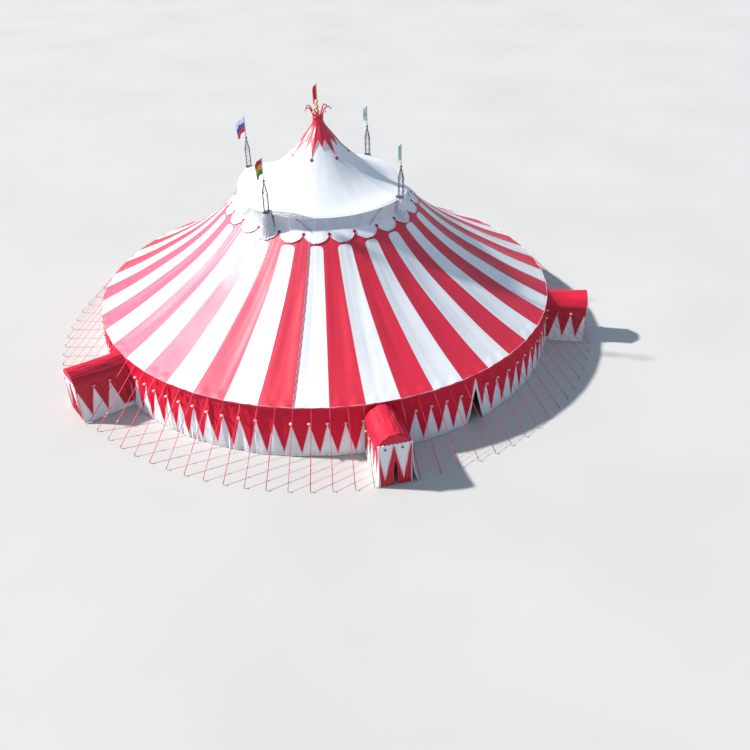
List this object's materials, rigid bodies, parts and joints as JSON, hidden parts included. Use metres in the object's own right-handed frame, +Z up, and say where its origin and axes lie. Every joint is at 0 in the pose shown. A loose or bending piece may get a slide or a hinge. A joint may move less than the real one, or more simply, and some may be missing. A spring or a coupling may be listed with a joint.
{
  "type": "circus big top tent, 1:2 scale model",
  "caption": "Round striped circus big top on lattice masts, with a white cupola, star cap, red side wall and barrel porches.",
  "frame": {"origin": "on the ground at the tent's vertical axis, the centre of its footprint", "axes": "+Z up along the king pole, -Y out through the front porch, +X to the tent's right as seen from the front"},
  "size_m": [25.41, 25.41, 11.4],
  "materials": {
    "red_cloth": "coated, satin",
    "white_cloth": "coated, satin",
    "grey_cloth": "mesh, matte",
    "flag_cloth": "matte",
    "galvanised_steel": "galvanised",
    "white_paint": "satin",
    "gold_paint": "gloss"
  },
  "bodies": {
    "root": {"canopy_section_1": "red_cloth", "canopy_section_2": "red_cloth", "canopy_section_3": "red_cloth", "canopy_section_4": "red_cloth", "petal_collar": "white_cloth", "ventilation_band_right": "grey_cloth", "ventilation_band_rear": "grey_cloth", "ventilation_band_left": "grey_cloth", "ventilation_band_front": "grey_cloth", "cupola": "white_cloth", "star_cap": "red_cloth", "crown": "red_cloth", "king_pole": "gold_paint", "king_pole_cradle": "galvanised_steel", "mast_rear_right": "galvanised_steel", "mast_rear_left": "galvanised_steel", "mast_front_left": "galvanised_steel", "mast_front_right": "galvanised_steel", "mast_boot_rear_right": "white_cloth", "mast_boot_rear_left": "white_cloth", "mast_boot_front_left": "white_cloth", "mast_boot_front_right": "white_cloth", "mast_flag_rear_right": "flag_cloth", "mast_flag_rear_left": "flag_cloth", "mast_flag_front_left": "flag_cloth", "mast_flag_front_right": "flag_cloth", "apex_flag": "red_cloth", "wall_left_porch": "red_cloth", "wall_front_left": "red_cloth", "wall_front_porch": "red_cloth", "wall_doorway": "red_cloth", "wall_front_right": "red_cloth", "wall_right_porch": "red_cloth", "wall_rear_1": "red_cloth", "wall_rear_2": "red_cloth", "wall_rear_3": "red_cloth", "wall_rear_4": "red_cloth", "porch_left_cover": "red_cloth", "porch_left_frame": "white_paint", "porch_left_curtains": "red_cloth", "porch_front_cover": "red_cloth", "porch_front_frame": "white_paint", "porch_front_curtains": "red_cloth", "porch_right_cover": "red_cloth", "porch_right_frame": "white_paint", "porch_right_curtains": "red_cloth", "side_poles_1": "galvanised_steel", "side_poles_2": "galvanised_steel", "side_poles_3": "galvanised_steel", "side_poles_4": "galvanised_steel", "guy_straps_1": "red_cloth", "guy_straps_2": "red_cloth", "guy_straps_3": "red_cloth", "guy_straps_4": "red_cloth"}
  },
  "joints": []
}
